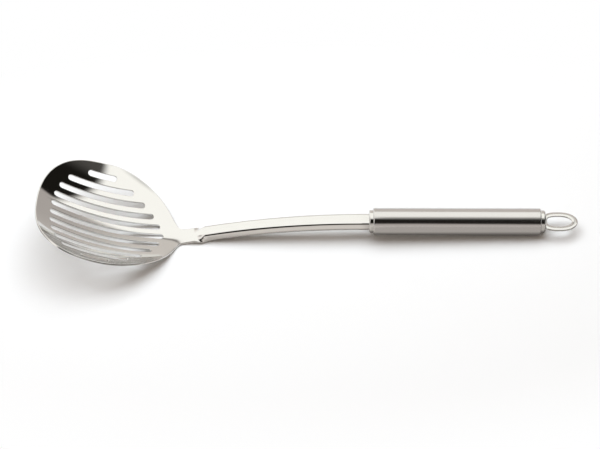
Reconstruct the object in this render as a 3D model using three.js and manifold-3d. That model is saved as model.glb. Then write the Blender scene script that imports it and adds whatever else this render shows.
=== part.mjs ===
// A slotted serving ladle in polished steel, in millimetres with +Z up.
//
// It lies as it does on a table, on the underside of its bowl beside the neck and on the rear end of
// its handle. X runs along the ladle from the bowl to the hanging loop, and XZ is its plane of symmetry.
//
// The bowl, neck, shank and tang are one pressing. Its shape is worked out on the flat blank, where
// `along` is the distance from the tip of the bowl and `across` the distance from the middle line, and
// each point of the blank is then carried onto the pressed surface. Before the ladle is laid down, x = 0
// is the front face of the front cap and z = 0 the axis of the handle.

import * as THREE from 'three';
import { mergeVertices } from 'three/addons/utils/BufferGeometryUtils.js';
import Module from 'manifold-3d';

// Sheet and fits
const sheetThickness = 1.5;
const fitClearance = 0.3;

// Outline of the bowl on the flat blank: half of an egg before its widest place and half behind it, whose
// flanks run straight over the last stretch
const bowlHalfWidth = 49.1;
const bowlFrontLength = 48;
const bowlRearLength = 51.6;
const bowlFrontPower = 2.75;
const bowlRearPower = 1.8;
const flankLength = 4.8;
const tipFlat = 0.15;

// Neck, and how softly the bowl's flanks run into it
const neckHalfWidth = 6.2;
const neckLength = 10.4;
const neckSoftness = 3;

// Pressed form of the bowl: one arc along the middle line, and a dish that tightens toward the neck
const bowlProfileRadius = 140;
const lowestBeforeNeck = 3.7;
const dishRadiusAtTip = 82.5;
const dishRadiusAtNeck = 54;
const dishGrowthPower = 2.9;
const dishFadeLength = 21;
const dishFadeStart = 11.5;

// Drain slots: parallel to the ladle, inside an egg that keeps these margins to the bowl's outline
const slotWidth = 4;
const slotPitch = 8;
const slotFrontMargin = 10.8;
const slotRearMargin = 9.7;
const slotSideMargin = 7.6;
const slotFrontPower = 2.75;
const slotRearPower = 1.47;
const shortestSlot = 8;
const punchOvershoot = 5;

// Shank: a channel open below, which rises from the neck to the handle in two arcs. Where it starts, its
// flat top comes up out of the neck as a ridge while its flanges turn down. Their lower edges lean in as toes
const shankRun = 127.5;
const shankDrop = 14.9;
const shankStraight = 4;
const neckBendRadius = 48;
const shankNeckRise = 2.2;
const shankHandleRise = 2.8;
const shankNeckHeight = 6.8;
const shankHandleHeight = 7.2;
const shankNeckHalfWidth = 4.9;
const ridgeHalfWidth = 1.4;
const ridgeLength = 9;
const foldLength = 12;
const foldInnerRelief = 0.25;
const toeLength = 3.1;
const toeLean = THREE.MathUtils.degToRad(26);

// Handle
const tubeRadius = 9;
const tubeWall = 1;
const tubeLength = 111.4;
const tubeEdgeRadius = 0.9;
const frontCapProud = 2.7;
const rearCapProud = 3.3;
const capSpigotLength = 10;
const frontCapEdgeRadius = 0.9;
const rearCapEdgeRadius = 1.7;
const capSlotWall = 1.6;
const tangLength = 40;
const plugGrip = 8;
const plugEndWall = 3;

// Hanging loop: flat strip with round edges, bent to an oval that is squarer at the cap than at its free end
const loopStripHalfWidth = 2;
const loopStripHalfThickness = 0.75;
const loopStripPower = 3;
const loopHalfLength = 10.15;
const loopHalfWidth = 6.65;
const loopCapPower = 2.8;
const loopFreePower = 2.1;
const loopSeatDepth = 0.8;

// Rest: depth of the flat that the bowl stands on, and bounds for finding how the ladle lies
const restFlatDepth = 0.15;
const steepestRest = THREE.MathUtils.degToRad(20);
const restHalvings = 40;
const tableSize = 400;

// Fineness
const roundSteps = 40;
const edgeSteps = 3;
const topColumns = 2;
const foldColumns = 4;
const flangeColumns = 1;
const toeBendColumns = 2;
const toeColumns = 1;
const frontRows = 13;
const rearRows = 9;
const neckRows = 9;
const foldRows = 10;
const shankRows = 9;
const slotStep = 7;
const slotEndSteps = 6;
const loopSteps = 36;
const stripSteps = 12;
const torusTube = 0.5;
const leastBend = 1e-6;

// Sizes that follow from the ones above
const halfColumns = topColumns + foldColumns + flangeColumns + toeBendColumns + toeColumns;
const capRadius = tubeRadius - tubeWall - fitClearance;
const shankHandleHalfWidth = Math.sqrt((capRadius - capSlotWall) ** 2 - shankHandleRise ** 2);
const foldRadius = sheetThickness + fitClearance + foldInnerRelief;
const bowlEnd = bowlFrontLength + bowlRearLength;
const flankStart = bowlRearLength - flankLength;
const rearHalfWidth = bowlHalfWidth - neckSoftness ** 2 / (4 * (bowlHalfWidth - neckHalfWidth));
const lowestAlong = bowlEnd - lowestBeforeNeck;
const shankAngle = 2 * Math.atan(shankDrop / shankRun);
const shankRadius = shankRun / Math.sin(shankAngle) - neckBendRadius;
const neckBendEnd = lowestAlong + neckBendRadius * shankAngle;
const shankBendEnd = neckBendEnd + shankRadius * shankAngle;
const foldStart = bowlEnd + neckLength;
const foldEnd = foldStart + foldLength;
const tangEnd = shankBendEnd + shankStraight + tangLength;
const lowestX = -shankStraight - shankRun;
const tubeStart = frontCapProud;
const tubeEnd = tubeStart + tubeLength;
const loopCentreX = tubeEnd + rearCapProud - loopSeatDepth + loopHalfLength;

const wasm = await Module();
wasm.setup();

const { smoothstep, lerp } = THREE.MathUtils;

// Places from start to end, evenly spaced, without the first
function evenPlaces(start, end, count) {
  return Array.from({ length: count }, (_, i) => lerp(start, end, (i + 1) / count));
}

// Half-width of an egg at a distance from its widest place; power 2 is an ellipse and more is squarer
function eggHalfWidth(distance, length, halfWidth, power) {
  const share = Math.min(Math.abs(distance) / length, 1);
  return halfWidth * (1 - share ** power) ** (1 / power);
}

// Half-width of the bowl behind its widest place, with the straight flanks that end it
function rearOutline(distance) {
  const egg = eggHalfWidth(Math.min(distance, flankStart), bowlRearLength, rearHalfWidth, bowlRearPower);
  const share = flankStart / bowlRearLength;
  const steepness = share ** (bowlRearPower - 1) * (1 - share ** bowlRearPower) ** (1 / bowlRearPower - 1);
  const flankSlope = steepness * rearHalfWidth / bowlRearLength;
  return egg - flankSlope * Math.max(distance - flankStart, 0);
}

// Half-width of the flat blank at a distance from the tip
function blankHalfWidth(along) {
  if (along <= bowlFrontLength) {
    return eggHalfWidth(bowlFrontLength - along, bowlFrontLength, bowlHalfWidth, bowlFrontPower);
  }
  const fold = smoothstep(along, foldStart, foldEnd);
  const strip = lerp(neckHalfWidth, shankBlankHalfWidth(along), fold);
  const beyond = rearOutline(along - bowlFrontLength) - strip;
  return strip + (beyond + Math.hypot(beyond, neckSoftness)) / 2;
}

// Share of the way along the shank from the neck to the handle
function shankShare(along) {
  return THREE.MathUtils.clamp((along - foldStart) / (shankBendEnd - foldStart), 0, 1);
}

// Half-width of the shank's top, from side face to middle line, where the fold is complete
function shankHalfWidth(along) {
  return lerp(shankNeckHalfWidth, shankHandleHalfWidth, shankShare(along));
}

// Half-width of the shank's blank, whose flanges are measured along the sheet from top to lower edge
function shankBlankHalfWidth(along) {
  const bend = foldRadius * Math.PI / 2;
  const height = lerp(shankNeckHeight, shankHandleHeight, shankShare(along));
  return shankHalfWidth(along) - foldRadius + bend + height - foldRadius;
}

// Middle line of the pressing's upper face: where it is and how steeply it climbs toward the handle
function middleLine(along) {
  if (along < neckBendEnd) {
    const radius = along < lowestAlong ? bowlProfileRadius : neckBendRadius;
    const slope = (along - lowestAlong) / radius;
    return {
      x: lowestX + radius * Math.sin(slope),
      z: -shankDrop + radius * (1 - Math.cos(slope)),
      slope,
    };
  }
  const slope = Math.max(shankBendEnd - along, 0) / shankRadius;
  return {
    x: -shankStraight - shankRadius * Math.sin(slope) + Math.max(along - shankBendEnd, 0),
    z: -shankRadius * (1 - Math.cos(slope)),
    slope,
  };
}

// Bends met on the way out from the middle line: lengths on the blank and their curvatures, up positive
function bendsAt(along) {
  if (along < foldStart) {
    const growth = (along / lowestAlong) ** dishGrowthPower;
    const tight = lerp(1 / dishRadiusAtTip, 1 / dishRadiusAtNeck, growth);
    const fadeStart = bowlEnd - dishFadeStart;
    const fade = 1 - smoothstep(along, fadeStart, fadeStart + dishFadeLength);
    return { lift: 0, bends: [[Infinity, tight * fade]] };
  }
  const ridge = smoothstep(along, foldStart, foldStart + ridgeLength);
  const fold = smoothstep(along, foldStart, foldEnd);
  const top = lerp(ridgeHalfWidth, shankHalfWidth(along) - foldRadius, ridge);
  const bend = foldRadius * Math.PI / 2 * fold;
  const flange = Math.max(blankHalfWidth(along) - toeLength - top - bend, 0);
  const toeBend = foldRadius * toeLean * fold;
  return {
    lift: lerp(shankNeckRise, shankHandleRise, shankShare(along)) * ridge,
    bends: [[top, 0], [bend, -1 / foldRadius], [flange, 0], [toeBend, -1 / foldRadius], [Infinity, 0]],
  };
}

// Point of the pressing for a point of the blank, at a depth below its upper face
function pressedPoint(along, across, depth) {
  const { lift, bends } = bendsAt(along);
  let left = Math.abs(across);
  let y = 0;
  let height = lift;
  let angle = 0;
  for (const [length, curvature] of bends) {
    const step = Math.min(left, length);
    const next = angle + curvature * step;
    if (Math.abs(curvature * step) > leastBend) {
      y += (Math.sin(next) - Math.sin(angle)) / curvature;
      height += (Math.cos(angle) - Math.cos(next)) / curvature;
    } else {
      y += step * Math.cos(angle);
      height += step * Math.sin(angle);
    }
    angle = next;
    left -= step;
  }
  y += depth * Math.sin(angle);
  height -= depth * Math.cos(angle);
  const middle = middleLine(along);
  return new THREE.Vector3(
    middle.x - height * Math.sin(middle.slope),
    across < 0 ? -y : y,
    middle.z + height * Math.cos(middle.slope),
  );
}

// Places across the half blank where the pressing has its columns: even in the bowl, and moved to the bends
// where the shank starts
function columnsAt(along) {
  const halfWidth = blankHalfWidth(along);
  const even = [0, ...evenPlaces(0, halfWidth, halfColumns)];
  if (along <= foldStart) return even;
  const [top, bend, flange, toeBend] = bendsAt(along).bends.map(([length]) => length);
  const toeStart = top + bend + flange;
  const atBends = [
    0,
    ...evenPlaces(0, top, topColumns),
    ...evenPlaces(top, top + bend, foldColumns),
    ...evenPlaces(top + bend, toeStart, flangeColumns),
    ...evenPlaces(toeStart, toeStart + toeBend, toeBendColumns),
    ...evenPlaces(toeStart + toeBend, halfWidth, toeColumns),
  ];
  const moved = smoothstep(along, foldStart, foldEnd);
  return even.map((place, i) => lerp(place, atBends[i], moved));
}

// Carries every vertex of a geometry to a new place
function carry(geometry, place) {
  const position = geometry.attributes.position;
  const vertex = new THREE.Vector3();
  for (let i = 0; i < position.count; i++) {
    const moved = place(vertex.fromBufferAttribute(position, i));
    position.setXYZ(i, moved.x, moved.y, moved.z);
  }
  return geometry;
}

// A slab of the pressing between rows of the blank, with room added on its edges and faces
function pressedSlab(rows, room) {
  const last = rows.length - 1;
  const slab = new THREE.BoxGeometry(last, 2 * halfColumns, 1, last, 2 * halfColumns, 1);
  return carry(slab, ({ x, y, z }) => {
    const along = rows[Math.round(x + last / 2)];
    const columns = columnsAt(along);
    const column = Math.round(Math.abs(y));
    const edge = column === halfColumns ? room : 0;
    const across = Math.sign(y) * (columns[column] + edge);
    return pressedPoint(along, across, z > 0 ? -room : sheetThickness + room);
  });
}

// Closed solid of a geometry, for joining and cutting
function solidOf(geometry) {
  const bare = geometry.clone();
  bare.deleteAttribute('normal');
  bare.deleteAttribute('uv');
  const merged = mergeVertices(bare);
  const corners = [];
  const index = merged.index.array;
  for (let i = 0; i < index.length; i += 3) {
    const [a, b, c] = index.slice(i, i + 3);
    if (a !== b && b !== c && c !== a) corners.push(a, b, c);
  }
  return new wasm.Manifold(new wasm.Mesh({
    numProp: 3,
    vertProperties: new Float32Array(merged.attributes.position.array),
    triVerts: new Uint32Array(corners),
  }));
}

function geometryOf(solid) {
  const { vertProperties, triVerts } = solid.getMesh();
  const geometry = new THREE.BufferGeometry();
  geometry.setAttribute('position', new THREE.BufferAttribute(new Float32Array(vertProperties), 3));
  geometry.setIndex(new THREE.BufferAttribute(new Uint32Array(triVerts), 1));
  geometry.computeVertexNormals();
  return geometry;
}

function cut(geometry, cutters) {
  const solid = cutters.reduce((left, cutter) => left.subtract(solidOf(cutter)), solidOf(geometry));
  return geometryOf(solid);
}

// Rows of the pressing, closest where its outline turns fastest
function pressingRows() {
  const rows = [tipFlat];
  for (let i = 2; i <= frontRows; i++) {
    const turn = Math.PI / 2 * i / frontRows;
    rows.push(bowlFrontLength * (1 - Math.cos(turn)));
  }
  const flankAlong = bowlFrontLength + flankStart;
  rows.push(...evenPlaces(bowlFrontLength, flankAlong, rearRows));
  rows.push(...evenPlaces(flankAlong, foldStart, neckRows));
  rows.push(...evenPlaces(foldStart, foldEnd, foldRows));
  rows.push(...evenPlaces(foldEnd, shankBendEnd, shankRows));
  rows.push(tangEnd);
  return rows;
}

// Punch for one drain slot: a prism with round ends on the blank, carried through the pressed sheet
function slotPunch(across) {
  const halfWidth = bowlHalfWidth - slotSideMargin;
  const share = (power) => (1 - (Math.abs(across) / halfWidth) ** power) ** (1 / power);
  const start = bowlFrontLength - (bowlFrontLength - slotFrontMargin) * share(slotFrontPower);
  const end = bowlFrontLength + (bowlRearLength - slotRearMargin) * share(slotRearPower);
  const radius = slotWidth / 2;
  if (end - start < shortestSlot) return null;
  const sideSteps = Math.ceil((end - start - slotWidth) / slotStep);
  const side = evenPlaces(start + radius, end - radius, sideSteps).slice(0, -1);
  const outline = [];
  const addEnd = (centre, from) => {
    for (let i = 0; i <= slotEndSteps; i++) {
      const turn = from + Math.PI * i / slotEndSteps;
      outline.push(new THREE.Vector2(centre + radius * Math.cos(turn), across + radius * Math.sin(turn)));
    }
  };
  addEnd(end - radius, -Math.PI / 2);
  [...side].reverse().forEach((place) => outline.push(new THREE.Vector2(place, across + radius)));
  addEnd(start + radius, Math.PI / 2);
  side.forEach((place) => outline.push(new THREE.Vector2(place, across - radius)));
  const depth = sheetThickness + 2 * punchOvershoot;
  const prism = new THREE.ExtrudeGeometry(new THREE.Shape(outline), { depth, bevelEnabled: false });
  return carry(prism, ({ x, y, z }) => pressedPoint(x, y, depth - punchOvershoot - z));
}

function slotPunches() {
  const eachSide = Math.floor((bowlHalfWidth - slotSideMargin) / slotPitch);
  const punches = [];
  for (let i = -eachSide; i <= eachSide; i++) punches.push(slotPunch(i * slotPitch));
  return punches.filter(Boolean);
}

// Points of a rounded corner in a turned profile, as radius and place along the axis
function corner(radius, place, edge, from) {
  return Array.from({ length: edgeSteps + 1 }, (_, i) => {
    const turn = from + Math.PI / 2 * i / edgeSteps;
    return new THREE.Vector2(radius + edge * Math.cos(turn), place + edge * Math.sin(turn));
  });
}

// A turned piece about the handle axis, with a flat facet below
function turned(profile) {
  const lathe = new THREE.LatheGeometry(profile, roundSteps, Math.PI / roundSteps);
  return lathe.rotateZ(-Math.PI / 2);
}

function handleTube() {
  const inner = tubeRadius - tubeWall;
  const edge = Math.min(tubeEdgeRadius, tubeWall);
  return turned([
    new THREE.Vector2(inner, tubeStart),
    ...corner(tubeRadius - edge, tubeStart + edge, edge, -Math.PI / 2),
    ...corner(tubeRadius - edge, tubeEnd - edge, edge, 0),
    new THREE.Vector2(inner, tubeEnd),
    new THREE.Vector2(inner, tubeStart),
  ]);
}

// Rows of the blank along the straight stretch, for the slots that take the tang
function tangRows(fromX, toX) {
  const straightAlong = (x) => shankBendEnd + shankStraight + x;
  return [straightAlong(fromX), straightAlong(toX)];
}

function frontCap() {
  const end = tubeStart + capSpigotLength;
  const edge = frontCapEdgeRadius;
  const blank = turned([
    new THREE.Vector2(0, 0),
    ...corner(capRadius - edge, edge, edge, -Math.PI / 2),
    new THREE.Vector2(capRadius, end),
    new THREE.Vector2(0, end),
  ]);
  return cut(blank, [pressedSlab(tangRows(-punchOvershoot, end + punchOvershoot), fitClearance)]);
}

function tangPlug() {
  const start = tangLength - plugGrip;
  const end = tangLength + plugEndWall;
  const blank = turned([
    new THREE.Vector2(0, start),
    new THREE.Vector2(capRadius, start),
    new THREE.Vector2(capRadius, end),
    new THREE.Vector2(0, end),
  ]);
  return cut(blank, [pressedSlab(tangRows(start - punchOvershoot, tangLength + fitClearance), fitClearance)]);
}

// The loop's strip, with room added all round: a torus whose ring is carried onto the oval
function loopStrip(room) {
  const torus = new THREE.TorusGeometry(1, torusTube, stripSteps, loopSteps);
  const squared = (value, power) => Math.sign(value) * Math.abs(value) ** (2 / power);
  return carry(torus, ({ x, y, z }) => {
    const ring = Math.hypot(x, y);
    const cos = x / ring;
    const power = cos < 0 ? loopCapPower : loopFreePower;
    const ovalX = loopHalfLength * squared(cos, power);
    const ovalY = loopHalfWidth * squared(y / ring, power);
    const slope = (value, size) => Math.sign(value) * Math.abs(value / size) ** (power - 1) / size;
    const outward = new THREE.Vector2(slope(ovalX, loopHalfLength), slope(ovalY, loopHalfWidth)).normalize();
    const offset = (loopStripHalfWidth + room) * squared((ring - 1) / torusTube, loopStripPower);
    return new THREE.Vector3(
      loopCentreX + ovalX + outward.x * offset,
      ovalY + outward.y * offset,
      (loopStripHalfThickness + room) * squared(z / torusTube, loopStripPower),
    );
  });
}

function rearCap() {
  const start = tubeEnd - capSpigotLength;
  const end = tubeEnd + rearCapProud;
  const edge = rearCapEdgeRadius;
  const blank = turned([
    new THREE.Vector2(0, start),
    new THREE.Vector2(capRadius, start),
    ...corner(capRadius - edge, end - edge, edge, 0),
    new THREE.Vector2(0, end),
  ]);
  return cut(blank, [loopStrip(fitClearance)]);
}

// Height of a geometry's lowest vertex once the ladle is tilted about Y
function lowestAt(geometry, tilt) {
  const { array } = geometry.attributes.position;
  let lowest = Infinity;
  for (let i = 0; i < array.length; i += 3) {
    lowest = Math.min(lowest, array[i + 2] * Math.cos(tilt) - array[i] * Math.sin(tilt));
  }
  return lowest;
}

// Tilt at which the bowl, cut flat below, and the handle touch the same table
function restTilt(pressing, tube) {
  let [low, high] = [-steepestRest, steepestRest];
  for (let i = 0; i < restHalvings; i++) {
    const tilt = (low + high) / 2;
    const bowlIsHigher = lowestAt(pressing, tilt) + restFlatDepth > lowestAt(tube, tilt);
    if (bowlIsHigher) high = tilt;
    else low = tilt;
  }
  return (low + high) / 2;
}

// Block below the table, in the frame of the ladle before it is laid down
function tableBlock(tilt, tableHeight) {
  const block = new THREE.BoxGeometry(tableSize, tableSize, tableSize);
  block.translate(lowestX, 0, tableHeight - tableSize / 2);
  return block.rotateY(-tilt);
}

const steel = (color, roughness) => new THREE.MeshStandardMaterial({ color, roughness, metalness: 1 });

const ladle = new THREE.Group();

function addPiece(name, geometry, material) {
  const piece = new THREE.Mesh(geometry, material);
  piece.name = name;
  ladle.add(piece);
}

const tube = handleTube();
const slotted = cut(pressedSlab(pressingRows(), 0), slotPunches());
const tilt = restTilt(slotted, tube);
const tableHeight = lowestAt(tube, tilt);
const pressing = cut(slotted, [tableBlock(tilt, tableHeight)]);

addPiece('bowl_and_shank', pressing, steel(0xd8d8d6, 0.12));
addPiece('front_cap', frontCap(), steel(0xcfcfcd, 0.15));
addPiece('handle_tube', tube, steel(0xc4c3c0, 0.2));
addPiece('tang_plug', tangPlug(), steel(0x9a9a98, 0.5));
addPiece('rear_cap', rearCap(), steel(0xcfcfcd, 0.15));
addPiece('hanging_loop', loopStrip(0), steel(0xd2d2d0, 0.14));

// Lay the ladle on the table, with the middle of its box over the origin
ladle.rotation.y = tilt;
ladle.updateMatrixWorld(true);
const box = new THREE.Box3().setFromObject(ladle, true);
ladle.position.set(-(box.min.x + box.max.x) / 2, 0, -tableHeight);

export default ladle;
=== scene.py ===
"""Looks of a slotted serving ladle in polished steel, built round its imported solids.

Sizes are in millimetres, as on the real object, and become metres where a mesh is made. Each piece is first
worked out in the handle's own frame, where x = 0 is the front face of the front cap and z = 0 the axis of
the handle, and is then laid on the table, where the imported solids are.
"""

import math

import bmesh
import bpy
from mathutils import Matrix, Vector
from mathutils.geometry import delaunay_2d_cdt


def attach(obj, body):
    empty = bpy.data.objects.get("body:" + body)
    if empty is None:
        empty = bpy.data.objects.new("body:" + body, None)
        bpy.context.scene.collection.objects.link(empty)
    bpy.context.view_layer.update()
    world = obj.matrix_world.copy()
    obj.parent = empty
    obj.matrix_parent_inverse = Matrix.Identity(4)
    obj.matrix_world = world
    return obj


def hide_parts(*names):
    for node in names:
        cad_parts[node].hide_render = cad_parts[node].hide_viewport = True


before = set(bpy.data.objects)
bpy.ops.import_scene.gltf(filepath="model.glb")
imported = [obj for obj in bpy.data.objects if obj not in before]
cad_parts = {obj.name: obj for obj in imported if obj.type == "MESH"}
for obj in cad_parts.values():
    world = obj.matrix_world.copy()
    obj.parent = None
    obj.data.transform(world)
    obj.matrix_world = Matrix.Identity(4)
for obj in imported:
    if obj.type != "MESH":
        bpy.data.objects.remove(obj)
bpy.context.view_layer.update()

MM = 0.001
UP = Vector((0, 0, 1))

# How the handle lies on the table
REST_TILT = math.radians(1.7069)
HANDLE_ORIGIN = Vector((40.755, 0, 12.34))
LAY = Matrix.Rotation(REST_TILT, 3, "Y")

# Sheet and fits
SHEET = 1.5
FIT_CLEARANCE = 0.3
RIM_EDGE_RADIUS = 0.5
SLOT_EDGE_RADIUS = 0.3

# Outline of the bowl on the flat blank
BOWL_HALF_WIDTH = 49.1
BOWL_FRONT_LENGTH = 48
BOWL_REAR_LENGTH = 51.6
BOWL_FRONT_POWER = 2.75
BOWL_REAR_POWER = 1.8
FLANK_LENGTH = 4.8
NECK_HALF_WIDTH = 6.2
NECK_LENGTH = 10.4
NECK_SOFTNESS = 3

# Pressed form of the bowl
BOWL_PROFILE_RADIUS = 140
LOWEST_BEFORE_NECK = 3.7
DISH_RADIUS_AT_TIP = 82.5
DISH_RADIUS_AT_NECK = 54
DISH_GROWTH_POWER = 2.9
DISH_FADE_LENGTH = 21
DISH_FADE_START = 11.5

# Drain slots
SLOT_WIDTH = 4
SLOT_PITCH = 8
SLOT_FRONT_MARGIN = 10.8
SLOT_REAR_MARGIN = 9.7
SLOT_SIDE_MARGIN = 7.6
SLOT_FRONT_POWER = 2.75
SLOT_REAR_POWER = 1.47

# Shank
SHANK_RUN = 127.5
SHANK_DROP = 14.9
SHANK_STRAIGHT = 4
NECK_BEND_RADIUS = 48
SHANK_NECK_RISE = 2.2
SHANK_HANDLE_RISE = 2.8
SHANK_NECK_HEIGHT = 6.8
SHANK_HANDLE_HEIGHT = 7.2
SHANK_NECK_HALF_WIDTH = 4.9
RIDGE_HALF_WIDTH = 1.4
RIDGE_LENGTH = 9
FOLD_LENGTH = 12
FOLD_INNER_RELIEF = 0.25
TOE_LENGTH = 3.1
TOE_LEAN = math.radians(26)

# Handle
TUBE_RADIUS = 9
TUBE_WALL = 1
TUBE_LENGTH = 111.4
TUBE_EDGE_RADIUS = 0.9
FRONT_CAP_PROUD = 2.7
REAR_CAP_PROUD = 3.3
CAP_SPIGOT_LENGTH = 10
FRONT_CAP_EDGE_RADIUS = 0.9
REAR_CAP_EDGE_RADIUS = 1.7
CAP_SLOT_WALL = 1.6
TANG_LENGTH = 40

# Hanging loop
LOOP_STRIP_HALF_WIDTH = 2
LOOP_STRIP_HALF_THICKNESS = 0.75
LOOP_STRIP_POWER = 3
LOOP_HALF_LENGTH = 10.15
LOOP_HALF_WIDTH = 6.65
LOOP_CAP_POWER = 2.8
LOOP_FREE_POWER = 2.1
LOOP_SEAT_DEPTH = 0.8

# Fineness of the meshes
OUTLINE_STEP = 1.2
SLOT_STEP = 0.9
BOWL_STEP = SLOT_PITCH / 6
SHANK_STEP = 1.5
EDGE_STEPS = 4
ROUND_STEPS = 128
LOOP_STEPS = 160
STRIP_STEPS = 32
OUTLINE_SAMPLES = 600
SLOT_END_SAMPLES = 40
# Columns on the shank's top, its bend, the flange, the bend to the lower edge and that edge
SHANK_COLUMNS = (3, 8, 3, 4, 3)
CLOSEST_COLUMNS = 0.12
NORMAL_STEP = 0.02
SMALLEST_TURN = 1e-6
SAME_PLACE = 1e-5
SHARP_ANGLE = math.radians(35)

# Sizes that follow from the ones above
CAP_RADIUS = TUBE_RADIUS - TUBE_WALL - FIT_CLEARANCE
SHANK_HANDLE_HALF_WIDTH = math.sqrt((CAP_RADIUS - CAP_SLOT_WALL) ** 2 - SHANK_HANDLE_RISE**2)
FOLD_RADIUS = SHEET + FIT_CLEARANCE + FOLD_INNER_RELIEF
BOWL_END = BOWL_FRONT_LENGTH + BOWL_REAR_LENGTH
FLANK_START = BOWL_REAR_LENGTH - FLANK_LENGTH
REAR_HALF_WIDTH = BOWL_HALF_WIDTH - NECK_SOFTNESS**2 / (4 * (BOWL_HALF_WIDTH - NECK_HALF_WIDTH))
LOWEST_ALONG = BOWL_END - LOWEST_BEFORE_NECK
SHANK_ANGLE = 2 * math.atan(SHANK_DROP / SHANK_RUN)
SHANK_RADIUS = SHANK_RUN / math.sin(SHANK_ANGLE) - NECK_BEND_RADIUS
NECK_BEND_END = LOWEST_ALONG + NECK_BEND_RADIUS * SHANK_ANGLE
SHANK_BEND_END = NECK_BEND_END + SHANK_RADIUS * SHANK_ANGLE
FOLD_START = BOWL_END + NECK_LENGTH
FOLD_END = FOLD_START + FOLD_LENGTH
TANG_END = SHANK_BEND_END + SHANK_STRAIGHT + TANG_LENGTH
LOWEST_X = -SHANK_STRAIGHT - SHANK_RUN
TUBE_START = FRONT_CAP_PROUD
TUBE_END = TUBE_START + TUBE_LENGTH
LOOP_CENTRE_X = TUBE_END + REAR_CAP_PROUD - LOOP_SEAT_DEPTH + LOOP_HALF_LENGTH


def lerp(start, end, share):
    return start + (end - start) * share


def smoothstep(value, start, end):
    share = min(max((value - start) / (end - start), 0), 1)
    return share * share * (3 - 2 * share)


def laid(point):
    """A point of the handle's frame, in millimetres, as it lies on the table, in metres."""
    return (LAY @ point + HANDLE_ORIGIN) * MM


# The flat blank


def egg_half_width(distance, length, half_width, power):
    share = min(abs(distance) / length, 1)
    return half_width * (1 - share**power) ** (1 / power)


def rear_outline(distance):
    """Half-width of the bowl behind its widest place, with the straight flanks that end it."""
    egg = egg_half_width(min(distance, FLANK_START), BOWL_REAR_LENGTH, REAR_HALF_WIDTH, BOWL_REAR_POWER)
    share = FLANK_START / BOWL_REAR_LENGTH
    power = BOWL_REAR_POWER
    steepness = share ** (power - 1) * (1 - share**power) ** (1 / power - 1)
    flank_slope = steepness * REAR_HALF_WIDTH / BOWL_REAR_LENGTH
    return egg - flank_slope * max(distance - FLANK_START, 0)


def shank_share(along):
    return min(max((along - FOLD_START) / (SHANK_BEND_END - FOLD_START), 0), 1)


def shank_half_width(along):
    return lerp(SHANK_NECK_HALF_WIDTH, SHANK_HANDLE_HALF_WIDTH, shank_share(along))


def shank_blank_half_width(along):
    bend = FOLD_RADIUS * math.pi / 2
    height = lerp(SHANK_NECK_HEIGHT, SHANK_HANDLE_HEIGHT, shank_share(along))
    return shank_half_width(along) - FOLD_RADIUS + bend + height - FOLD_RADIUS


def blank_half_width(along):
    """Half-width of the flat blank at a distance from the tip of the bowl."""
    if along <= BOWL_FRONT_LENGTH:
        distance = BOWL_FRONT_LENGTH - along
        return egg_half_width(distance, BOWL_FRONT_LENGTH, BOWL_HALF_WIDTH, BOWL_FRONT_POWER)
    fold = smoothstep(along, FOLD_START, FOLD_END)
    strip = lerp(NECK_HALF_WIDTH, shank_blank_half_width(along), fold)
    beyond = rear_outline(along - BOWL_FRONT_LENGTH) - strip
    return strip + (beyond + math.hypot(beyond, NECK_SOFTNESS)) / 2


def slot_ends(across):
    """Where a drain slot starts and ends along the blank."""
    share = abs(across) / (BOWL_HALF_WIDTH - SLOT_SIDE_MARGIN)
    front = (1 - share**SLOT_FRONT_POWER) ** (1 / SLOT_FRONT_POWER)
    rear = (1 - share**SLOT_REAR_POWER) ** (1 / SLOT_REAR_POWER)
    start = BOWL_FRONT_LENGTH - (BOWL_FRONT_LENGTH - SLOT_FRONT_MARGIN) * front
    end = BOWL_FRONT_LENGTH + (BOWL_REAR_LENGTH - SLOT_REAR_MARGIN) * rear
    return start, end


def slots():
    """Each drain slot as where it starts, where it ends and how far it lies across."""
    each_side = math.floor((BOWL_HALF_WIDTH - SLOT_SIDE_MARGIN) / SLOT_PITCH)
    places = [i * SLOT_PITCH for i in range(-each_side, each_side + 1)]
    return [(*slot_ends(across), across) for across in places]


def even_loop(points, step):
    """A closed line through points, redrawn with even steps."""
    closed = points + points[:1]
    lengths = [0.0]
    for here, there in zip(closed, closed[1:]):
        lengths.append(lengths[-1] + (there - here).length)
    count = round(lengths[-1] / step)
    loop = []
    part = 0
    for i in range(count):
        place = lengths[-1] * i / count
        while lengths[part + 1] < place:
            part += 1
        share = (place - lengths[part]) / (lengths[part + 1] - lengths[part])
        loop.append(closed[part].lerp(closed[part + 1], share))
    return loop


def outline_loop():
    """Outline of the blank, anticlockwise from the middle of its tip."""
    half = []
    for i in range(OUTLINE_SAMPLES + 1):
        turn = math.pi / 2 * i / OUTLINE_SAMPLES
        along = BOWL_FRONT_LENGTH * (1 - math.cos(turn) ** (2 / BOWL_FRONT_POWER))
        half.append(Vector((along, blank_half_width(along))))
    for i in range(1, 2 * OUTLINE_SAMPLES + 1):
        along = lerp(BOWL_FRONT_LENGTH, TANG_END, i / (2 * OUTLINE_SAMPLES))
        half.append(Vector((along, blank_half_width(along))))
    other = [Vector((point.x, -point.y)) for point in half]
    return even_loop(other + half[:0:-1], OUTLINE_STEP)


def slot_loop(start, end, across):
    """Outline of a drain slot, clockwise, so that the sheet is on its left as it is in the outline."""
    radius = SLOT_WIDTH / 2
    loop = []
    for centre, first in ((start + radius, -math.pi / 2), (end - radius, math.pi / 2)):
        for i in range(SLOT_END_SAMPLES + 1):
            turn = first - math.pi * i / SLOT_END_SAMPLES
            loop.append(Vector((centre + radius * math.cos(turn), across + radius * math.sin(turn))))
    return even_loop(loop, SLOT_STEP)


def inward(loop):
    """Direction into the sheet at each point of a loop."""
    found = []
    for i, _ in enumerate(loop):
        run = (loop[(i + 1) % len(loop)] - loop[i - 1]).normalized()
        found.append(Vector((-run.y, run.x)))
    return found


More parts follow.
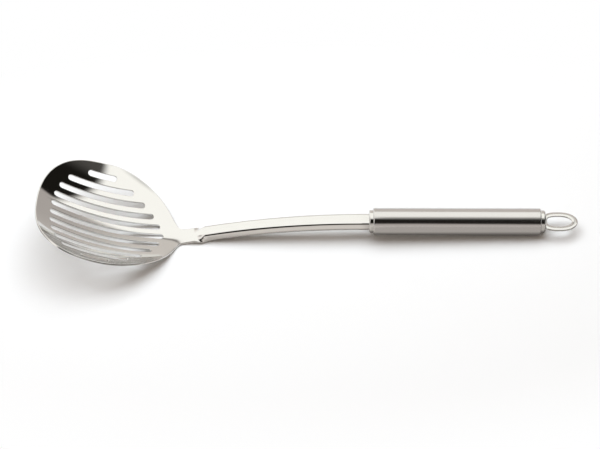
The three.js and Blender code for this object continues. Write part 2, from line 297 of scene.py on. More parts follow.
# From the blank to the pressed sheet


def middle_line(along):
    """Place of the middle line and how steeply it climbs toward the handle."""
    if along < NECK_BEND_END:
        radius = BOWL_PROFILE_RADIUS if along < LOWEST_ALONG else NECK_BEND_RADIUS
        slope = (along - LOWEST_ALONG) / radius
        x = LOWEST_X + radius * math.sin(slope)
        return x, -SHANK_DROP + radius * (1 - math.cos(slope)), slope
    slope = max(SHANK_BEND_END - along, 0) / SHANK_RADIUS
    x = -SHANK_STRAIGHT - SHANK_RADIUS * math.sin(slope) + max(along - SHANK_BEND_END, 0)
    return x, -SHANK_RADIUS * (1 - math.cos(slope)), slope


def bends_at(along):
    """Lift of the middle line, and the bends on the way out from it as lengths and curvatures."""
    if along < FOLD_START:
        growth = (max(along, 0) / LOWEST_ALONG) ** DISH_GROWTH_POWER
        tight = lerp(1 / DISH_RADIUS_AT_TIP, 1 / DISH_RADIUS_AT_NECK, growth)
        fade_start = BOWL_END - DISH_FADE_START
        fade = 1 - smoothstep(along, fade_start, fade_start + DISH_FADE_LENGTH)
        return 0, [(math.inf, tight * fade)]
    ridge = smoothstep(along, FOLD_START, FOLD_START + RIDGE_LENGTH)
    fold = smoothstep(along, FOLD_START, FOLD_END)
    lift = lerp(SHANK_NECK_RISE, SHANK_HANDLE_RISE, shank_share(along)) * ridge
    top = lerp(RIDGE_HALF_WIDTH, shank_half_width(along) - FOLD_RADIUS, ridge)
    bend = FOLD_RADIUS * math.pi / 2 * fold
    flange = max(blank_half_width(along) - TOE_LENGTH - top - bend, 0)
    toe = FOLD_RADIUS * TOE_LEAN * fold
    return lift, [(top, 0), (bend, -1 / FOLD_RADIUS), (flange, 0), (toe, -1 / FOLD_RADIUS), (math.inf, 0)]


def pressed(along, across, depth=0):
    """Point of the pressed sheet for a point of the blank, at a depth below its upper face."""
    height, bends = bends_at(along)
    left = abs(across)
    y = 0
    angle = 0
    for length, curvature in bends:
        step = min(left, length)
        turn = angle + curvature * step
        if abs(turn - angle) > SMALLEST_TURN:
            y += (math.sin(turn) - math.sin(angle)) / curvature
            height += (math.cos(angle) - math.cos(turn)) / curvature
        else:
            y += step * math.cos(angle)
            height += step * math.sin(angle)
        angle = turn
        left -= step
    y += depth * math.sin(angle)
    height -= depth * math.cos(angle)
    x, z, slope = middle_line(along)
    return Vector((x - height * math.sin(slope), math.copysign(y, across), z + height * math.cos(slope)))


def upward(along, across):
    """Direction that the upper face looks in."""
    h = NORMAL_STEP
    run = pressed(along + h, across) - pressed(along - h, across)
    width = pressed(along, across + h) - pressed(along, across - h)
    return run.cross(width).normalized()


def outward(place, inner):
    """Direction in the sheet that leads out over its edge."""
    ahead = place - inner * NORMAL_STEP
    behind = place + inner * NORMAL_STEP
    return (pressed(ahead.x, ahead.y) - pressed(behind.x, behind.y)).normalized()


# Meshes


def add_piece(name, mesh, node, material):
    """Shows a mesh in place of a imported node."""
    mesh.materials.append(material)
    piece = bpy.data.objects.new(name, mesh)
    bpy.context.scene.collection.objects.link(piece)
    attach(piece, "root")
    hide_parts(node)


def closed_mesh(name, places, faces, sharp_from=None):
    """Mesh of a closed body, faces out, smooth but for edges sharper than an angle."""
    mesh = bpy.data.meshes.new(name)
    mesh.from_pydata([laid(place) for place in places], [], faces)
    shape = bmesh.new()
    shape.from_mesh(mesh)
    bmesh.ops.recalc_face_normals(shape, faces=shape.faces)
    shape.to_mesh(mesh)
    shape.free()
    mesh.shade_smooth()
    if sharp_from is not None:
        mesh.set_sharp_from_angle(angle=sharp_from)
    return mesh


def edge_profile(radius):
    """Round of the sheet's edge: inset from the edge, depth and turn from up to down."""
    profile = []
    for base in (0, math.pi / 2):
        for i in range(EDGE_STEPS + 1):
            turn = base + math.pi / 2 * i / EDGE_STEPS
            depth = radius * (1 - math.cos(turn))
            if base:
                depth = SHEET - radius * (1 + math.cos(turn))
            profile.append((radius * (1 - math.sin(turn)), depth, turn))
    return profile


def bowl_points(room):
    """Even points of the blank's bowl and neck that keep clear of its edges."""
    points = []
    rows = math.ceil(BOWL_HALF_WIDTH / BOWL_STEP)
    columns = math.ceil(FOLD_START / BOWL_STEP)
    holes = slots()
    for i in range(columns):
        along = i * BOWL_STEP
        limit = min(blank_half_width(max(along - room, 0)), blank_half_width(along + room)) - room
        for j in range(-rows, rows + 1):
            across = j * BOWL_STEP
            if abs(across) < limit and not in_slot(along, across, holes, room):
                points.append(Vector((along, across)))
    return points


def shank_points(room):
    """Points of the blank's shank and tang, close together where it is folded."""
    points = []
    for i in range(round((TANG_END - FOLD_START) / SHANK_STEP)):
        along = FOLD_START + i * SHANK_STEP
        limit = blank_half_width(along) - room
        half = [column for column in shank_columns(along) if column < limit]
        points += [Vector((along, across)) for across in half]
        points += [Vector((along, -across)) for across in half if across > 0]
    return points


def in_slot(along, across, holes, room):
    radius = SLOT_WIDTH / 2
    for start, end, middle in holes:
        nearest = min(max(along, start + radius), end - radius)
        if math.hypot(along - nearest, across - middle) < radius + room:
            return True
    return False


def shank_columns(along):
    """Places across the half blank at which the bends of the shank are drawn."""
    columns = [0.0]
    start = 0
    half_width = blank_half_width(along)
    _, bends = bends_at(along + NORMAL_STEP)
    for (longest, _), parts in zip(bends, SHANK_COLUMNS):
        length = min(longest, half_width - start)
        for i in range(1, parts + 1):
            place = start + length * i / parts
            if place - columns[-1] > CLOSEST_COLUMNS:
                columns.append(place)
        start += length
    return columns


class Border:
    """An edge of the sheet: its loop on the blank, the way in from it and the radius of its round."""

    def __init__(self, loop, radius):
        self.loop = loop
        self.inner = inward(loop)
        self.radius = radius

    def inset(self, distance):
        return [point + into * distance for point, into in zip(self.loop, self.inner)]


def blank_mesh(borders):
    """Points and triangles of the blank inside its rounded edges, and each border's points among them."""
    flat = []
    rings = []
    for border in borders:
        first = len(flat)
        flat += border.inset(border.radius)
        rings.append(list(range(first, len(flat))))
    room = RIM_EDGE_RADIUS + BOWL_STEP / 2
    flat += bowl_points(room) + shank_points(room)
    lines = [line for ring in rings for line in zip(ring, ring[1:] + ring[:1])]
    points, _, found, origins, _, _ = delaunay_2d_cdt(flat, lines, [], 0, SAME_PLACE)
    assert len(points) == len(flat), "the blank's loops cross"
    new_index = {old[0]: new for new, old in enumerate(origins)}
    holes = slots()
    triangles = []
    for triangle in found:
        middle = sum((points[i] for i in triangle), Vector((0, 0))) / len(triangle)
        inside = abs(middle.y) < blank_half_width(middle.x) and middle.x < TANG_END
        if inside and not in_slot(middle.x, middle.y, holes, SLOT_EDGE_RADIUS / 2):
            triangles.append(tuple(triangle))
    return points, triangles, [[new_index[i] for i in ring] for ring in rings]


class PressedSheet:
    """Mesh of the pressing while it is put together."""

    def __init__(self):
        self.places = []
        self.normals = []
        self.faces = []

    def add_sides(self, points, triangles):
        """Upper and lower face of the sheet."""
        for depth, side in ((0, 1), (SHEET, -1)):
            for point in points:
                self.places.append(pressed(point.x, point.y, depth))
                self.normals.append(upward(point.x, point.y) * side)
        for triangle in triangles:
            self.faces.append(triangle)
            self.faces.append(tuple(i + len(points) for i in reversed(triangle)))

    def add_ring(self, border, inset, depth, turn):
        """Ring of points on a rounded edge."""
        first = len(self.places)
        for place, into in zip(border.inset(inset), border.inner):
            self.places.append(pressed(place.x, place.y, depth))
            level = upward(place.x, place.y) * math.cos(turn)
            self.normals.append(level + outward(place, into) * math.sin(turn))
        return list(range(first, len(self.places)))

    def add_edge(self, border, upper, lower):
        """Rounded edge between the two faces of the sheet."""
        before = upper
        for inset, depth, turn in edge_profile(border.radius)[1:-1]:
            ring = self.add_ring(border, inset, depth, turn)
            self.faces += strip(before, ring)
            before = ring
        self.faces += strip(before, lower)

    def mesh(self, name):
        mesh = closed_mesh(name, self.places, self.faces)
        mesh.normals_split_custom_set_from_vertices([LAY @ normal.normalized() for normal in self.normals])
        return mesh


def pressing_mesh():
    """The bowl, neck, shank and tang: two faces of the sheet, joined round the rim and the slots."""
    borders = [Border(outline_loop(), RIM_EDGE_RADIUS)]
    borders += [Border(slot_loop(*slot), SLOT_EDGE_RADIUS) for slot in slots()]
    points, triangles, rings = blank_mesh(borders)
    sheet = PressedSheet()
    sheet.add_sides(points, triangles)
    for border, upper in zip(borders, rings):
        sheet.add_edge(border, upper, [i + len(points) for i in upper])
    return sheet.mesh("bowl_and_shank")


def strip(here, there):
    """Faces between two rings of points."""
    count = len(here)
    return [(here[i], here[(i + 1) % count], there[(i + 1) % count], there[i]) for i in range(count)]


def rounded_corner(radius, place, edge, first):
    """Points of a rounded corner of a turned profile, as place along the axis and radius."""
    points = []
    for i in range(2 * EDGE_STEPS + 1):
        turn = first + math.pi / 2 * i / (2 * EDGE_STEPS)
        points.append((place + edge * math.sin(turn), radius + edge * math.cos(turn)))
    return points


def turned_mesh(name, profile, closed):
    """A turned body from a profile that starts and ends on the axis, or closes on itself."""
    places = []
    rings = []
    for x, radius in profile:
        ring = []
        for i in range(ROUND_STEPS if radius else 1):
            turn = 2 * math.pi * i / ROUND_STEPS
            ring.append(len(places))
            places.append(Vector((x, radius * math.cos(turn), radius * math.sin(turn))))
        rings.append(ring)
    faces = []
    for here, there in zip(rings, rings[1:] + rings[:1] if closed else rings[1:]):
        if len(here) == 1:
            faces += [(here[0], there[i], there[(i + 1) % ROUND_STEPS]) for i in range(ROUND_STEPS)]
        elif len(there) == 1:
            faces += [(here[i], there[0], here[(i + 1) % ROUND_STEPS]) for i in range(ROUND_STEPS)]
        else:
            faces += strip(here, there)
    return closed_mesh(name, places, faces, SHARP_ANGLE)


def cut_out(mesh, cutter_mesh):
    """Cuts one closed mesh out of another."""
    body = bpy.data.objects.new("cut_body", mesh)
    cutter = bpy.data.objects.new("cutter", cutter_mesh)
    for helper in (body, cutter):
        bpy.context.scene.collection.objects.link(helper)
    cut = body.modifiers.new("cut", "BOOLEAN")
    cut.object = cutter
    cut.operation = "DIFFERENCE"
    cut.solver = "EXACT"
    result = bpy.data.meshes.new_from_object(body.evaluated_get(bpy.context.evaluated_depsgraph_get()))
    for helper in (body, cutter):
        bpy.data.objects.remove(helper)
    result.name = mesh.name + "_cut"
    result.set_sharp_from_angle(angle=SHARP_ANGLE)
    return result


def tube_mesh():
    inner = TUBE_RADIUS - TUBE_WALL
    edge = TUBE_EDGE_RADIUS
    profile = [(TUBE_START, inner)]
    profile += rounded_corner(TUBE_RADIUS - edge, TUBE_START + edge, edge, -math.pi / 2)
    profile += rounded_corner(TUBE_RADIUS - edge, TUBE_END - edge, edge, 0)
    profile += [(TUBE_END, inner)]
    return turned_mesh("handle_tube", profile, True)


def tang_cutter():
    """The tang's section with its clearance, drawn through the front cap."""
    along = SHANK_BEND_END + SHANK_STRAIGHT
    room = FIT_CLEARANCE
    half = shank_columns(along)
    half[-1] += room
    across = [-place for place in half[:0:-1]] + half
    section = [pressed(along, place, -room) for place in across]
    section += [pressed(along, place, SHEET + room) for place in reversed(across)]
    count = len(section)
    front, rear = -SHANK_STRAIGHT / 2, TUBE_START + CAP_SPIGOT_LENGTH + SHANK_STRAIGHT / 2
    places = [Vector((x, point.y, point.z)) for x in (front, rear) for point in section]
    faces = strip(list(range(count)), list(range(count, 2 * count)))
    faces += [tuple(range(count)), tuple(range(count, 2 * count))]
    return closed_mesh("tang_cutter", places, faces)


def front_cap_mesh():
    edge = FRONT_CAP_EDGE_RADIUS
    end = TUBE_START + CAP_SPIGOT_LENGTH
    profile = [(0, 0)]
    profile += rounded_corner(CAP_RADIUS - edge, edge, edge, -math.pi / 2)
    profile += [(end, CAP_RADIUS), (end, 0)]
    return cut_out(turned_mesh("front_cap", profile, False), tang_cutter())


def rear_cap_mesh():
    edge = REAR_CAP_EDGE_RADIUS
    start = TUBE_END - CAP_SPIGOT_LENGTH
    end = TUBE_END + REAR_CAP_PROUD
    profile = [(start, 0), (start, CAP_RADIUS)]
    profile += rounded_corner(CAP_RADIUS - edge, end - edge, edge, 0)
    profile += [(end, 0)]
    return cut_out(turned_mesh("rear_cap", profile, False), loop_mesh(FIT_CLEARANCE))


def squared(turn_part, power):
    """Part of a circle's turn moved out toward the corner of its square."""
    return math.copysign(abs(turn_part) ** (2 / power), turn_part)


def loop_mesh(room):
    """Flat strip with round edges, bent to an oval that is squarer at the cap than at its free end."""
    places = []
    faces = []
    for i in range(LOOP_STEPS):
        turn = 2 * math.pi * (i + 0.5) / LOOP_STEPS
        power = LOOP_CAP_POWER if math.cos(turn) < 0 else LOOP_FREE_POWER
        x = LOOP_HALF_LENGTH * squared(math.cos(turn), power)
        y = LOOP_HALF_WIDTH * squared(math.sin(turn), power)
        lean_x = math.copysign(abs(x / LOOP_HALF_LENGTH) ** (power - 1) / LOOP_HALF_LENGTH, x)
        lean_y = math.copysign(abs(y / LOOP_HALF_WIDTH) ** (power - 1) / LOOP_HALF_WIDTH, y)
        lean = Vector((lean_x, lean_y, 0)).normalized()
        for j in range(STRIP_STEPS):
            around = 2 * math.pi * j / STRIP_STEPS
            out = (LOOP_STRIP_HALF_WIDTH + room) * squared(math.cos(around), LOOP_STRIP_POWER)
            high = (LOOP_STRIP_HALF_THICKNESS + room) * squared(math.sin(around), LOOP_STRIP_POWER)
            places.append(Vector((LOOP_CENTRE_X + x, y, 0)) + lean * out + UP * high)
    for i in range(LOOP_STEPS):
        here = list(range(i * STRIP_STEPS, (i + 1) * STRIP_STEPS))
        next_start = (i + 1) % LOOP_STEPS * STRIP_STEPS
        faces += strip(here, list(range(next_start, next_start + STRIP_STEPS)))
    return closed_mesh("hanging_loop", places, faces)


# Materials


class NodeTree:
    """A node tree with short ways to add the nodes that the materials and the studio are made of."""

    def __init__(self, tree):
        self.nodes = tree.nodes
        self.links = tree.links

    def feed(self, socket, value):
        if isinstance(value, (int, float)):
            socket.default_value = value
        else:
            self.links.new(value, socket)

    def position(self, kind):
        return self.nodes.new("ShaderNodeTexCoord").outputs[kind]

    def parts(self, vector):
        """The x, y and z of a vector."""
        split = self.nodes.new("ShaderNodeSeparateXYZ")
        self.feed(split.inputs["Vector"], vector)
        return split.outputs

    def scaled(self, vector, scale):
        node = self.nodes.new("ShaderNodeMapping")
        node.inputs["Scale"].default_value = scale
        self.feed(node.inputs["Vector"], vector)
        return node.outputs["Vector"]

    def noise(self, vector, scale, detail):
        node = self.nodes.new("ShaderNodeTexNoise")
        node.inputs["Scale"].default_value = scale
        node.inputs["Detail"].default_value = detail
        self.feed(node.inputs["Vector"], vector)
        return node.outputs["Fac"]

    def math(self, operation, *values):
        node = self.nodes.new("ShaderNodeMath")
        node.operation = operation
        for socket, value in zip(node.inputs, values):
            self.feed(socket, value)
        return node.outputs["Value"]

    def product(self, first, *others):
        for other in others:
            first = self.math("MULTIPLY", first, other)
        return first

    def lean(self, value, other, slope):
        """A value that also grows with another one."""
        return self.math("MULTIPLY_ADD", other, slope, value)

    def step(self, value, start, end):
        """0 up to start and 1 from end on, smooth between them; it falls where end lies below start."""
        node = self.nodes.new("ShaderNodeMapRange")
        node.interpolation_type = "SMOOTHSTEP"
        self.feed(node.inputs["Value"], value)
        self.feed(node.inputs["From Min"], start)
        self.feed(node.inputs["From Max"], end)
        return node.outputs["Result"]

    def blend(self, share, low, high):
        """A colour between two others."""
        node = self.nodes.new("ShaderNodeMix")
        node.data_type = "RGBA"
        self.feed(node.inputs["Factor"], share)
        for socket, value in (("A", low), ("B", high)):
            if isinstance(value, tuple):
                node.inputs[socket].default_value = (*value, 1)
            else:
                self.links.new(value, node.inputs[socket])
        return node.outputs["Result"]

    def seen(self):
        """1 where the camera or the steel looks, 0 for the light that falls on the table."""
        path = self.nodes.new("ShaderNodeLightPath").outputs
        mirrored = self.math("MAXIMUM", path["Is Glossy Ray"], path["Is Transmission Ray"])
        return self.math("MAXIMUM", path["Is Camera Ray"], mirrored)


def new_material(name):
    """A material and its node tree."""
    material = bpy.data.materials.new(name)
    material.use_nodes = True
    return material, NodeTree(material.node_tree)


GRAIN_DETAIL = 4
TINT_SCALE = 60
TINT_DETAIL = 2
TINT_SHADE = 0.97


def steel(name, colour, roughness, spread, grain, grain_depth):
    """Steel with fine lines in its roughness and relief, and a faint change of tint."""
    material, tree = new_material(name)
    shader = tree.nodes["Principled BSDF"].inputs
    shader["Metallic"].default_value = 1
    place = tree.position("Object")
    lines = tree.noise(tree.scaled(place, grain), 1, GRAIN_DETAIL)
    rough = tree.nodes.new("ShaderNodeMapRange")
    rough.inputs["To Min"].default_value = roughness - spread
    rough.inputs["To Max"].default_value = roughness + spread
    tree.feed(rough.inputs["Value"], lines)
    tree.feed(shader["Roughness"], rough.outputs["Result"])
    shade = tuple(TINT_SHADE * part for part in colour)
    tint = tree.blend(tree.noise(place, TINT_SCALE, TINT_DETAIL), shade, colour)
    tree.feed(shader["Base Color"], tint)
    relief = tree.nodes.new("ShaderNodeBump")
    relief.inputs["Distance"].default_value = grain_depth
    tree.feed(relief.inputs["Height"], lines)
    tree.feed(shader["Normal"], relief.outputs["Normal"])
    return material


# Stage, in metres


def add_level(name, material, left, right, near, far, height):
    """A level rectangle of the stage."""
    corners = [(left, near, height), (right, near, height), (right, far, height), (left, far, height)]
    mesh = bpy.data.meshes.new(name)
    mesh.from_pydata(corners, [], [(0, 1, 2, 3)])
    mesh.materials.append(material)
    level = bpy.data.objects.new(name, mesh)
    bpy.context.scene.collection.objects.link(level)
    return level


# Floor
FLOOR_HALF = 4
FLOOR_HEIGHT = -0.0002
FLOOR_COLOUR = (0.96, 0.96, 0.96)
FLOOR_ROUGHNESS = 0.9
WHITE_FLOOR_FROM = Vector((0.42, 0.2))
WHITE_FLOOR_SOFTNESS = 0.62


def floor_material():
    """Pale floor that runs into plain white where no shadow of the ladle falls."""
    material, tree = new_material("pale_floor")
    shader = tree.nodes["Principled BSDF"]
    shader.inputs["Base Color"].default_value = (*FLOOR_COLOUR, 1)
    shader.inputs["Roughness"].default_value = FLOOR_ROUGHNESS
    shader.inputs["Specular IOR Level"].default_value = 0
    white = tree.nodes.new("ShaderNodeEmission")
    spread = tree.scaled(tree.position("Object"), (1 / WHITE_FLOOR_FROM.x, 1 / WHITE_FLOOR_FROM.y, 0))
    distance = tree.nodes.new("ShaderNodeVectorMath")
    distance.operation = "LENGTH"
    tree.feed(distance.inputs[0], spread)
    away = tree.step(distance.outputs["Value"], WHITE_FLOOR_SOFTNESS, 1)
    mix = tree.nodes.new("ShaderNodeMixShader")
    tree.feed(mix.inputs["Fac"], tree.product(away, tree.seen()))
    tree.feed(mix.inputs[1], shader.outputs["BSDF"])
    tree.feed(mix.inputs[2], white.outputs["Emission"])
    tree.feed(tree.nodes["Material Output"].inputs["Surface"], mix.outputs["Shader"])
    return material


def add_floor():
    add_level("floor", floor_material(), -FLOOR_HALF, FLOOR_HALF, -FLOOR_HALF, FLOOR_HALF, FLOOR_HEIGHT)


# Studio: colours, where each one starts and ends, and how its edges turn with the direction looked in
BACK_WALL_LEFT = (0.8, 0.75, 0.7)
BACK_WALL_RIGHT = (0.54, 0.5, 0.47)
BACK_WALL_FADE = (0, 0.65)
BACK_WALL_EDGE = (0.88, 0.92)
BACK_WALL_TURN = 0.547
LIT_WALL = (1.2, 1.15, 1.1)
LIT_WALL_BEHIND = (0.3, 0.42)
LIT_WALL_BESIDE = (0.2, 0.4)
LIT_WALL_FRONT = (-0.15, 0.1)
LIT_WALL_TURN = 1.15
END_WALL = (0.5, 0.475, 0.45)
END_WALL_EDGE = (0.8, 0.92)
LOW_WALL = (0.66, 0.61, 0.57)
LOW_WALL_TOP = (0.55, 0.28)
LOW_WALL_RIGHT_TURN = 0.4
LOW_WALL_LEFT_TURN = 0.7
DARK_ROOM = (0.012, 0.011, 0.009)
DIM_CORNER = (0.09, 0.085, 0.078)
DIM_CORNER_FRONT = (-0.05, -0.3)
DIM_CORNER_RIGHT = (0.35, 0.5)
CAMERA_SIDE_EDGE = (0, 0.1)
LEFT_PART_EDGE = (0.59, 0.49)
LEFT_PART_TURN = -0.31
SOFTBOX = (1.35, 1.34, 1.28)
SOFTBOX_NEAR_EDGE = (-0.6, -0.25)
SOFTBOX_NEAR_TURN = 0.8
SOFTBOX_FAR_EDGE = (0.79, 0.715)
SOFTBOX_FAR_TURN = 0.3
FRAME_GREY = (0.3, 0.28, 0.26)
FRAME_DARK = (0.06, 0.055, 0.05)
FRAME_FADE = (0.2, 0.5)
FRAME_NEAR_EDGE = (0.728, 0.75)
FRAME_FAR_EDGE = (0.782, 0.757)
FRAME_MIDDLE = (0.2, 0.1)
FRAME_RIGHT = (0.5, 0.6)
FILL_LOW = (0.08, 0.066, 0.054)
FILL_HIGH = (0.4, 0.33, 0.27)
FILL_EDGE = (0.2, 0.7)
LEAST_HEIGHT = 0.02


class Room(NodeTree):
    """The studio as a world: x, y and z are the direction looked in, to the right, back and up."""

    def __init__(self):
        self.world = bpy.data.worlds.new("studio")
        self.world.use_nodes = True
        super().__init__(self.world.node_tree)
        self.x, self.y, self.z = self.parts(self.position("Generated"))
        self.rightward = self.math("MAXIMUM", self.x, 0)
        self.leftward = self.math("MAXIMUM", self.math("MULTIPLY", self.x, -1), 0)
        self.far = self.lean(self.y, self.rightward, SOFTBOX_FAR_TURN)
        self.left_part = self.step(self.lean(self.x, self.y, LEFT_PART_TURN), *LEFT_PART_EDGE)

    def back_wall(self):
        """Wall behind the ladle, lit at its left."""
        wall = self.blend(self.step(self.x, *BACK_WALL_FADE), BACK_WALL_LEFT, BACK_WALL_RIGHT)
        return self.blend(self.step(self.leftward, *LIT_WALL_BEHIND), wall, LIT_WALL)

    def camera_side(self):
        """Dark part of the room round the camera, paler low down and lit at its left."""
        corner = self.product(self.step(self.y, *DIM_CORNER_FRONT), self.step(self.x, *DIM_CORNER_RIGHT))
        dark = self.blend(corner, DARK_ROOM, DIM_CORNER)
        height = self.lean(self.z, self.rightward, LOW_WALL_RIGHT_TURN)
        height = self.lean(height, self.leftward, LOW_WALL_LEFT_TURN)
        dim = self.blend(self.step(height, *LOW_WALL_TOP), dark, LOW_WALL)
        turned = self.lean(self.y, self.leftward, LIT_WALL_TURN)
        lit = self.product(self.step(self.leftward, *LIT_WALL_BESIDE), self.step(turned, *LIT_WALL_FRONT))
        return self.blend(lit, dim, LIT_WALL)

    def walls(self):
        behind = self.step(self.lean(self.y, self.x, BACK_WALL_TURN), *BACK_WALL_EDGE)
        beyond = self.product(self.left_part, self.step(self.y, *CAMERA_SIDE_EDGE))
        sides = self.blend(self.math("MAXIMUM", behind, beyond), self.camera_side(), self.back_wall())
        return self.blend(self.step(self.leftward, *END_WALL_EDGE), sides, END_WALL)

    def with_softbox(self, walls):
        """The walls and the wide softbox overhead."""
        height = self.math("MAXIMUM", self.z, LEAST_HEIGHT)
        aside = self.math("DIVIDE", self.x, height)
        slanted = self.lean(self.math("DIVIDE", self.y, height), aside, SOFTBOX_NEAR_TURN)
        near_edge = self.step(slanted, *SOFTBOX_NEAR_EDGE)
        far_edge = self.step(self.far, *SOFTBOX_FAR_EDGE)
        return self.blend(self.product(near_edge, far_edge, self.left_part), walls, SOFTBOX)

    def with_frame(self, lit):
        """The room and the dark frame at the softbox's far edge, in the middle and to the right."""
        near_edge = self.step(self.far, *FRAME_NEAR_EDGE)
        far_edge = self.step(self.far, *FRAME_FAR_EDGE)
        middle = self.step(self.math("ABSOLUTE", self.x), *FRAME_MIDDLE)
        shown = self.math("MAXIMUM", middle, self.step(self.x, *FRAME_RIGHT))
        colour = self.blend(self.step(self.x, *FRAME_FADE), FRAME_GREY, FRAME_DARK)
        return self.blend(self.product(near_edge, far_edge, self.left_part, shown), lit, colour)

    def build(self):
        """The camera and the steel see the room, and the table gets an even light."""
        room = self.with_frame(self.with_softbox(self.walls()))
        fill = self.blend(self.step(self.z, *FILL_EDGE), FILL_LOW, FILL_HIGH)
        colour = self.blend(self.seen(), fill, room)
        self.feed(self.nodes["Background"].inputs["Color"], colour)
        bpy.context.scene.world = self.world


# Lamp
LAMP_WIDTH = 1.6
LAMP_DEPTH = 1.1
LAMP_POWER = 16.8
LAMP_COLOUR = (0.8725, 0.9406, 1)
LAMP_PLACE = Vector((-0.1, 0.22, 1.15))


def add_lamp():
    """A soft lamp above and behind, which gives the shadow."""
    light = bpy.data.lights.new("overhead", "AREA")
    light.shape = "RECTANGLE"
    light.size = LAMP_WIDTH
    light.size_y = LAMP_DEPTH
    light.energy = LAMP_POWER
    light.color = LAMP_COLOUR
    lamp = bpy.data.objects.new("overhead", light)
    lamp.location = LAMP_PLACE
    lamp.rotation_euler = (-LAMP_PLACE).to_track_quat("-Z", "Y").to_euler()
    lamp.visible_glossy = False
    bpy.context.scene.collection.objects.link(lamp)


# Cards that only the steel mirrors: painted reflections that glow but light nothing
REFLECTION_CARDS_RIGHT = 0.3
# Painted reflection: a glow above the grip that only the steel mirrors
OVERHEAD_REFLECTION_COLOUR = (1, 0.99, 0.94)
OVERHEAD_REFLECTION_FALL_OFF = 2.2
# Painted reflection of the table in front, grey, that only the steel mirrors, brighter beside the shank
FRONT_REFLECTION_COLOUR = (0.58, 0.545, 0.51)
FRONT_REFLECTION_BY_SHANK = (0.043, 0.034)
FRONT_REFLECTION_SHANK_GAIN = 0.45
# Painted shadow of the ladle on that reflection: where it starts, and how deep it is by the grip and by the
# shank
FRONT_PAINTED_SHADOW_EDGE = (-0.0175, -0.0045)
FRONT_PAINTED_SHADOW_BY_GRIP = 0.8
FRONT_PAINTED_SHADOW_BY_SHANK = 0.35


def reflection_card_material(name, colour):
    """Glowing card that paints a reflection into the steel, as its material, its node tree and the socket
    that takes its strength.
    """
    material, tree = new_material(name)
    glow = tree.nodes.new("ShaderNodeEmission")
    glow.inputs["Color"].default_value = (*colour, 1)
    tree.feed(tree.nodes["Material Output"].inputs["Surface"], glow.outputs["Emission"])
    return material, tree, glow.inputs["Strength"]


def overhead_reflection_material():
    """Card with a painted reflection for the steel, glowing most at its far side."""
    material, tree, strength = reflection_card_material("overhead_reflection_card", OVERHEAD_REFLECTION_COLOUR)
    depth = tree.parts(tree.position("Generated"))["Y"]
    tree.feed(strength, tree.math("POWER", depth, OVERHEAD_REFLECTION_FALL_OFF))
    return material


def front_reflection_material():
    """Painted reflection of the table for the steel, with a painted shadow of the ladle near it, less by
    the shank, where it is brighter.
    """
    material, tree, strength = reflection_card_material("front_reflection_card", FRONT_REFLECTION_COLOUR)
    place = tree.parts(tree.position("Object"))
    by_shank = tree.step(place["X"], *FRONT_REFLECTION_BY_SHANK)
    depth = tree.lean(FRONT_PAINTED_SHADOW_BY_GRIP, by_shank, FRONT_PAINTED_SHADOW_BY_SHANK - FRONT_PAINTED_SHADOW_BY_GRIP)
    # Painted shadow of the ladle, darkening the card near the ladle
    shade = tree.product(tree.step(place["Y"], *FRONT_PAINTED_SHADOW_EDGE), depth)
    bright = tree.lean(1, by_shank, FRONT_REFLECTION_SHANK_GAIN)
    tree.feed(strength, tree.product(bright, tree.math("SUBTRACT", 1, shade)))
    return material


def add_reflection_card(name, material, left, near, far, height):
    """A level card beside the ladle, which only the steel shows: a painted reflection that lights nothing
    and casts no shadow.
    """
    card = add_level(name, material, left, REFLECTION_CARDS_RIGHT, near, far, height)
    card.visible_camera = False
    card.visible_diffuse = False
    card.visible_shadow = False


# Camera, placed from the handle's frame
VIEW_ELEVATION = math.radians(45.03)
VIEW_ROLL = 0.0022
VIEW_DISTANCE = 1512.5
VIEW_TARGET = Vector((-45.93, 0, -3.18))
IMAGE_WIDTH = 600
PIXELS_PER_MM = 1.5


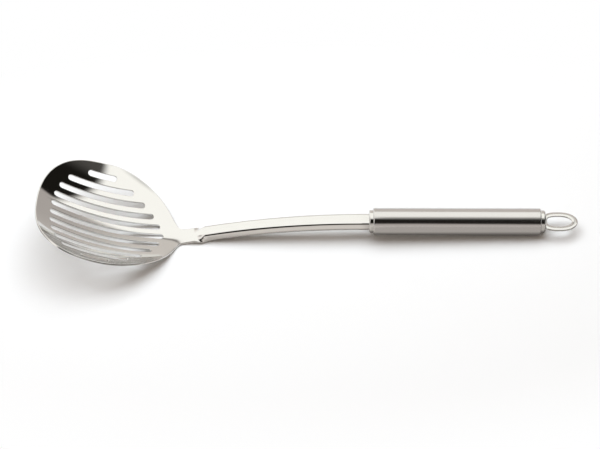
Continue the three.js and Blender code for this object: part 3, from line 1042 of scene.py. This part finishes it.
def add_camera():
    back = Vector((0, -math.cos(VIEW_ELEVATION), math.sin(VIEW_ELEVATION)))
    above = Vector((0, math.sin(VIEW_ELEVATION), math.cos(VIEW_ELEVATION)))
    right = Vector((1, 0, 0)) * math.cos(VIEW_ROLL) + above * math.sin(VIEW_ROLL)
    axes = [LAY @ right, LAY @ back.cross(right), LAY @ back]
    data = bpy.data.cameras.new("camera")
    data.sensor_fit = "HORIZONTAL"
    data.lens = PIXELS_PER_MM * VIEW_DISTANCE * data.sensor_width / IMAGE_WIDTH
    camera = bpy.data.objects.new("camera", data)
    turn = Matrix(axes).transposed().to_4x4()
    camera.matrix_world = Matrix.Translation(laid(VIEW_TARGET + back * VIEW_DISTANCE)) @ turn
    bpy.context.scene.collection.objects.link(camera)
    bpy.context.scene.camera = camera


# The ladle in its steels
polished = steel(
    "polished_steel",
    colour=(0.7, 0.695, 0.68),
    roughness=0.06,
    spread=0.02,
    grain=(40, 400, 400),
    grain_depth=0.000002,
)
capped = steel(
    "cap_steel",
    colour=(0.68, 0.675, 0.66),
    roughness=0.1,
    spread=0.03,
    grain=(200, 200, 200),
    grain_depth=0.000002,
)
brushed = steel(
    "tube_steel",
    colour=(0.62, 0.61, 0.6),
    roughness=0.16,
    spread=0.04,
    grain=(30, 900, 900),
    grain_depth=0.000004,
)
plain = steel(
    "plain_steel",
    colour=(0.5, 0.5, 0.49),
    roughness=0.4,
    spread=0.1,
    grain=(200, 200, 200),
    grain_depth=0.00001,
)
looped = steel(
    "loop_steel",
    colour=(0.68, 0.675, 0.66),
    roughness=0.1,
    spread=0.03,
    grain=(300, 300, 300),
    grain_depth=0.000002,
)

add_piece("pressing", pressing_mesh(), "bowl_and_shank", polished)
add_piece("tube", tube_mesh(), "handle_tube", brushed)
add_piece("cap_front", front_cap_mesh(), "front_cap", capped)
add_piece("cap_rear", rear_cap_mesh(), "rear_cap", capped)
add_piece("loop", loop_mesh(0), "hanging_loop", looped)
for material_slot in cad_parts["tang_plug"].material_slots:
    material_slot.material = plain

# The stage round it
add_floor()
Room().build()
add_lamp()
# Painted reflections for the steel: a glow above the grip, and in front a grey table with a painted shadow
# of the ladle
add_reflection_card("reflection_card_above", overhead_reflection_material(), left=0.042, near=-0.117, far=-0.019, height=0.16)
add_reflection_card("reflection_card_in_front", front_reflection_material(), left=-0.085, near=-0.6, far=-0.004, height=0.0004)
add_camera()
bpy.context.scene.view_settings.view_transform = "Standard"
